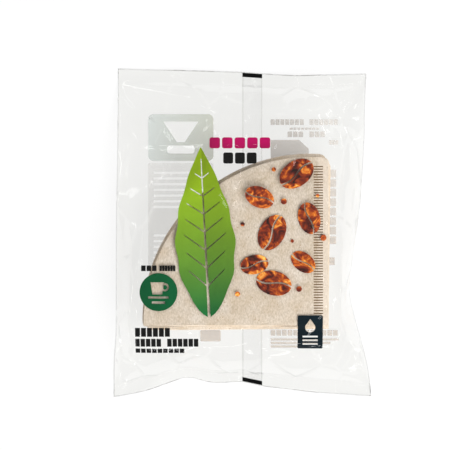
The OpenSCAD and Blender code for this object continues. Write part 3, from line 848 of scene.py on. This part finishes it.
def from_edge(film, axis, size):
    """Distance in millimetres from the nearer edge of the flat film."""
    flat_place = add(film, "SeparateXYZ", Vector=(add(film, "UVMap", {"uv_map": "UVMap"}), "UV"))
    middle = add(film, "Math", {"operation": "SUBTRACT"}, i0=(flat_place, axis), i1=0.5)
    away = add(film, "Math", {"operation": "ABSOLUTE"}, i0=(middle, "Value"))
    return add(film, "Math", {"operation": "MULTIPLY_ADD"}, i0=(away, "Value"), i1=-size, i2=size / 2)


def uneven_film(film, along):
    """Bump of slow waves, straight handling creases and the ribs of the end seals."""
    place = add(film, "TexCoord")
    pull = add(film, "Mapping", Vector=(place, "Object"), Scale=(1.0, 0.35, 1.0), Rotation=(0, 0, 0.25))
    waves = add(film, "TexNoise", Vector=(pull, "Vector"), Scale=WAVES, Detail=2.0, Roughness=0.45)
    wavy = add(film, "Bump", Strength=0.6, Distance=0.7 * MM, Height=(waves, "Fac"))
    turned = add(film, "Mapping", Vector=(place, "Object"), Scale=(1.0, 0.55, 1.0), Rotation=(0, 0, -0.6))
    cells = add(
        film, "TexVoronoi", {"feature": "DISTANCE_TO_EDGE"}, Vector=(turned, "Vector"), Scale=HANDLING
    )
    crease = add(
        film, "MapRange", Value=(cells, "Distance"), From_Min=0.0, From_Max=0.05, To_Min=1.0, To_Max=0.0
    )
    handled = add(
        film, "Bump", Strength=1.0, Distance=0.8 * MM, Height=(crease, "Result"), Normal=(wavy, "Normal")
    )
    in_band = add(film, "Math", {"operation": "LESS_THAN"}, i0=(along, "Value"), i1=SEAL)
    turn = add(film, "Math", {"operation": "MULTIPLY"}, i0=(along, "Value"), i1=2 * math.pi / RIB_PITCH)
    rib = add(film, "Math", {"operation": "SINE"}, i0=(turn, "Value"))
    ribs = add(film, "Math", {"operation": "MULTIPLY"}, i0=(rib, "Value"), i1=(in_band, "Value"))
    return add(
        film, "Bump", Strength=0.5, Distance=0.1 * MM, Height=(ribs, "Value"), Normal=(handled, "Normal")
    )


# %% Clear film
FOLD_SHADE_FULL, FOLD_SHADE_NONE = 0.3, 1.0  # from the edge: where the grey line of painted shade is full, and where it ends
SHINE_RISE = 0.9


def clear_film(name, width, length, shine_least, plain, fold, says):
    """Clear film that turns greyer and shinier where it slopes away; its edges get a grey line of painted
    shade.
    """
    film = finish_named(name, says)
    across, along = from_edge(film, "X", width), from_edge(film, "Y", length)
    nearest = add(film, "Math", {"operation": "MINIMUM"}, i0=(across, "Value"), i1=(along, "Value"))
    line = add(
        film, "MapRange", Value=(nearest, "Value"),
        From_Min=FOLD_SHADE_FULL, From_Max=FOLD_SHADE_NONE, To_Min=1.0, To_Max=0.0,
    )
    # Painted shade: the clear tint turns to the fold colour along the edges
    tint = add(film, "Mix", {"data_type": "RGBA"}, i0=(line, "Result"), i6=linear(plain), i7=linear(fold))
    clear = add(film, "BsdfTransparent", Color=(tint, "Result"))
    bent = uneven_film(film, along)
    gloss = add(
        film, "BsdfAnisotropic", Color=linear("#FFFFFF"), Roughness=0.08, Normal=(bent, "Normal")
    )
    facing = add(film, "LayerWeight", Blend=0.5)
    rise = add(film, "Math", {"operation": "POWER"}, i0=(facing, "Facing"), i1=3.0)
    shine = add(
        film, "Math", {"operation": "MULTIPLY_ADD"}, i0=(rise, "Value"), i1=SHINE_RISE, i2=shine_least
    )
    both = add(film, "MixShader", i0=(shine, "Value"), i1=(clear, "BSDF"), i2=(gloss, "BSDF"))
    add(film, "OutputMaterial", Surface=(both, "Shader"))
    return film


# EAEAE8 is the painted shade along the film's folded edges
give(film_bag, clear_film(
    "clear_polypropylene_film", 2 * HALF_W, 2 * HALF_L, 0.03, "#FCFCFB", "#EAEAE8",
    "clear, with glints where it puckers",
))
# The fin's grey edges are painted shade as well
give(film_fin, clear_film(
    "clear_film_fin_seal", FIN_W, 2 * HALF_L, 0.004, "#FEFEFE", "#F6F6F5",
    "two layers fused, with grey edges",
))

# %% [markdown]
# ## Inks
# Film is printed by gravure: engraved cells put down a dense, smooth ink with a faint mottle. One function
# makes every plain ink as a gradient between two colours. The back print is pale because it is seen through
# the bag, so its ink lets part of the light through. Cover is what each of a field's two faces holds back.

# %% Printing inks
MOTTLE = 900.0  # cells a metre, so 1.1 mm
MOTTLE_DARK, MOTTLE_LIGHT = 0.95, 1.05


def gravure_ink(name, low, high, from_place, to_place, says, shaded=1.0, cover=1.0):
    """A gradient of two inks with the mottle of engraved cells, shaded right of the gradient's line."""
    ink = finish_named(name, says)
    place = add(ink, "TexCoord")
    start, end = Vector(from_place) * MM, Vector(to_place) * MM
    along = (end - start) / (end - start).length_squared
    moved = add(ink, "VectorMath", {"operation": "SUBTRACT"}, i0=(place, "Object"), i1=start)
    part = add(ink, "VectorMath", {"operation": "DOT_PRODUCT"}, i0=(moved, "Vector"), i1=along)
    blend = add(ink, "ValToRGB", {"stops": ((0.0, low), (1.0, high))}, Fac=(part, "Value"))
    cells = add(ink, "TexNoise", Vector=(place, "Object"), Scale=MOTTLE, Detail=3.0, Roughness=0.6)
    spread = add(ink, "MapRange", Value=(cells, "Fac"), To_Min=MOTTLE_DARK, To_Max=MOTTLE_LIGHT)
    mottled = add(
        ink, "Mix", {"data_type": "RGBA", "blend_type": "MULTIPLY"},
        i0=1.0, i6=(blend, "Color"), i7=(spread, "Result"),
    )
    rightward = Vector((along.y, -along.x, 0))
    side = add(ink, "VectorMath", {"operation": "DOT_PRODUCT"}, i0=(moved, "Vector"), i1=rightward)
    right = add(ink, "Math", {"operation": "GREATER_THAN"}, i0=(side, "Value"), i1=0.0)
    shade = add(ink, "MapRange", Value=(right, "Value"), To_Min=1.0, To_Max=shaded)
    tone = add(
        ink, "Mix", {"data_type": "RGBA", "blend_type": "MULTIPLY"},
        i0=1.0, i6=(mottled, "Result"), i7=(shade, "Result"),
    )
    skin = add(
        ink, "BsdfPrincipled", Base_Color=(tone, "Result"), Roughness=0.5, Alpha=cover,
        Specular_IOR_Level=0.15,
    )
    add(ink, "OutputMaterial", Surface=(skin, "BSDF"))
    return ink


# %% Inks of the front print
LEAF_FOOT = (TIP[0] - 0.608 * FILTER_R, TIP[1] + 0.042 * FILTER_R, 0)
LEAF_TIP = (LEAF_FOOT[0] - 6, LEAF_FOOT[1] + 1.02 * FILTER_R, 0)
LEAF_SHADE = 0.78
give(leaf_ink, gravure_ink(
    "leaf_green_ink", "#006836", "#A2C20E", LEAF_FOOT, LEAF_TIP,
    "lime to deep green, one half in shade", shaded=LEAF_SHADE,
))
give(title_ink, gravure_ink(
    "magenta_ink", "#B00056", "#B8005C", (-25, 0, 0), (20, 0, 0), "strong magenta"
))
give(badge_ink, gravure_ink(
    "deep_green_ink", "#00502B", "#005C32", (-70, 0, 0), (-40, 0, 0), "deep green"
))
give(caption_ink, gravure_ink(
    "black_ink", "#060606", "#0A0A0A", (-80, -90, 0), (20, 60, 0), "dense black"
))
give(eye_ink, caption_ink.data.materials[0])
give(label_ink, gravure_ink(
    "blue_black_ink", "#000E16", "#001822", (40, -80, 0), (60, -60, 0), "near black with blue in it"
))

# %% Inks of the back print
PANEL_COVER, TEXT_COVER, PALE_COVER = 0.36, 0.4, 0.13
PANEL_H = 34.5  # the upper panel's height, and the paler one lies below it
give(back_panel_ink, gravure_ink(
    "pale_grey_green_ink", "#E6F0EF", "#D4D9C6", (-75, 66, 0), (-25, 66, 0), "thin and pale",
    cover=PANEL_COVER,
))
give(back_text_ink, gravure_ink(
    "pale_grey_brown_ink", "#C8BCB0", "#E0DAD4", (20, 20, 0), (75, 75, 0), "thin and pale",
    cover=TEXT_COVER,
))
back_panel_ink.data.materials.append(gravure_ink(
    "pale_warm_grey_ink", "#E6E2DE", "#E0DAD3", (-75, 40, 0), (-75, -20, 0), "a faint tint",
    cover=PALE_COVER,
))
pale_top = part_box("back_panel_print")[1].y - PANEL_H * MM
for face in back_panel_ink.data.polygons:
    face.material_index = 1 if face.center.y < pale_top else 0

# %% Roasted bean ink
BEAN_FIGURE = 140.0  # cells a metre, so patches of 7 mm
BEAN_STOPS = ((0.3, "#1E0904"), (0.4, "#5A1A0C"), (0.5, "#93350F"), (0.6, "#D5701C"), (0.72, "#FFC964"))


def bean_print_ink():
    """Four-colour print of roasted beans: amber lights over red-brown, almost black in the shade."""
    ink = finish_named("roasted_bean_ink", "amber lights over dark red-brown")
    place = add(ink, "TexCoord")
    waves = add(
        ink, "TexNoise", Vector=(place, "Object"), Scale=BEAN_FIGURE, Detail=3.0, Roughness=0.55,
        Distortion=1.2,
    )
    tone = add(ink, "ValToRGB", {"stops": BEAN_STOPS}, Fac=(waves, "Fac"))
    skin = add(ink, "BsdfPrincipled", Base_Color=(tone, "Color"), Roughness=0.4)
    add(ink, "OutputMaterial", Surface=(skin, "BSDF"))
    return ink


give(bean_ink, bean_print_ink())

# %% [markdown]
# ## Floor, world and lamps
# The bag lies on a white sweep that reads pure white to the camera and in reflections, and still takes the
# bag's faint shadow. Three large soft lamps light it from the front, the right and the left, and aren't
# seen in the gloss. Seven narrow ones stand in a ring around it, low over the floor, and put the thin
# glints on the film's puckers.

# %% White floor
FLOOR_DROP = 0.2 * MM
GLOW_SHARE = 0.8
bpy.ops.mesh.primitive_plane_add(size=6, location=(0, 0, -FLOOR_DROP))
floor = bpy.context.object
floor.name = "floor"
sweep = finish_named("white_sweep", "white to the camera, with a faint shadow")
ray = add(sweep, "LightPath")
direct = add(
    sweep, "Math", {"operation": "MAXIMUM"}, i0=(ray, "Is Camera Ray"), i1=(ray, "Is Glossy Ray")
)
seen = add(
    sweep, "Math", {"operation": "MAXIMUM"}, i0=(direct, "Value"), i1=(ray, "Is Transmission Ray")
)
share = add(sweep, "Math", {"operation": "MULTIPLY"}, i0=(seen, "Value"), i1=GLOW_SHARE)
matt = add(sweep, "BsdfDiffuse", Color=linear("#F0F0F0"))
glow = add(sweep, "Emission", Color=linear("#FFFFFF"), Strength=1.0)
mixed = add(sweep, "MixShader", i0=(share, "Value"), i1=(matt, "BSDF"), i2=(glow, "Emission"))
add(sweep, "OutputMaterial", Surface=(mixed, "Shader"))
give(floor, sweep)

# %% World and lamps
SOFT_BOXES = (
    ("left_soft_box", (-0.8, 0.8, 0.6), (0.8, 0.6), 3.3),
    ("right_soft_box", (0.9, -0.1, 0.9), (0.7, 0.9), 9),
    ("front_soft_box", (0.5, -1.0, 0.7), (1.0, 0.6), 19),
)
STRIP_LAMPS, RING_R, RING_UP, FIRST_TURN = 7, 0.95, 0.55, 15
STRIP_SIZE, STRIP_WATTS = (0.5, 0.08), 0.5
world = bpy.data.worlds.new("studio")
bpy.context.scene.world = world
world.use_nodes = True
world.node_tree.nodes["Background"].inputs["Color"].default_value = linear("#FFFFFF")
world.node_tree.nodes["Background"].inputs["Strength"].default_value = 0.3


def area_lamp(name, place, size, power):
    """An area lamp that points at the bag."""
    bpy.ops.object.light_add(type="AREA", location=place)
    lamp = bpy.context.object
    lamp.name = name
    lamp.data.shape = "RECTANGLE"
    lamp.data.size, lamp.data.size_y = size
    lamp.data.energy = power
    lamp.rotation_euler = (-Vector(place)).to_track_quat("-Z", "Y").to_euler()
    return lamp


for name, place, size, power in SOFT_BOXES:
    area_lamp(name, place, size, power).visible_glossy = False
for n in range(STRIP_LAMPS):
    turn = math.radians(360 * n / STRIP_LAMPS + FIRST_TURN)
    place = (RING_R * math.cos(turn), RING_R * math.sin(turn), RING_UP)
    area_lamp("strip_lamp_%d" % n, place, STRIP_SIZE, STRIP_WATTS)
print("lamps:", len(SOFT_BOXES), "soft boxes and", STRIP_LAMPS, "strips")
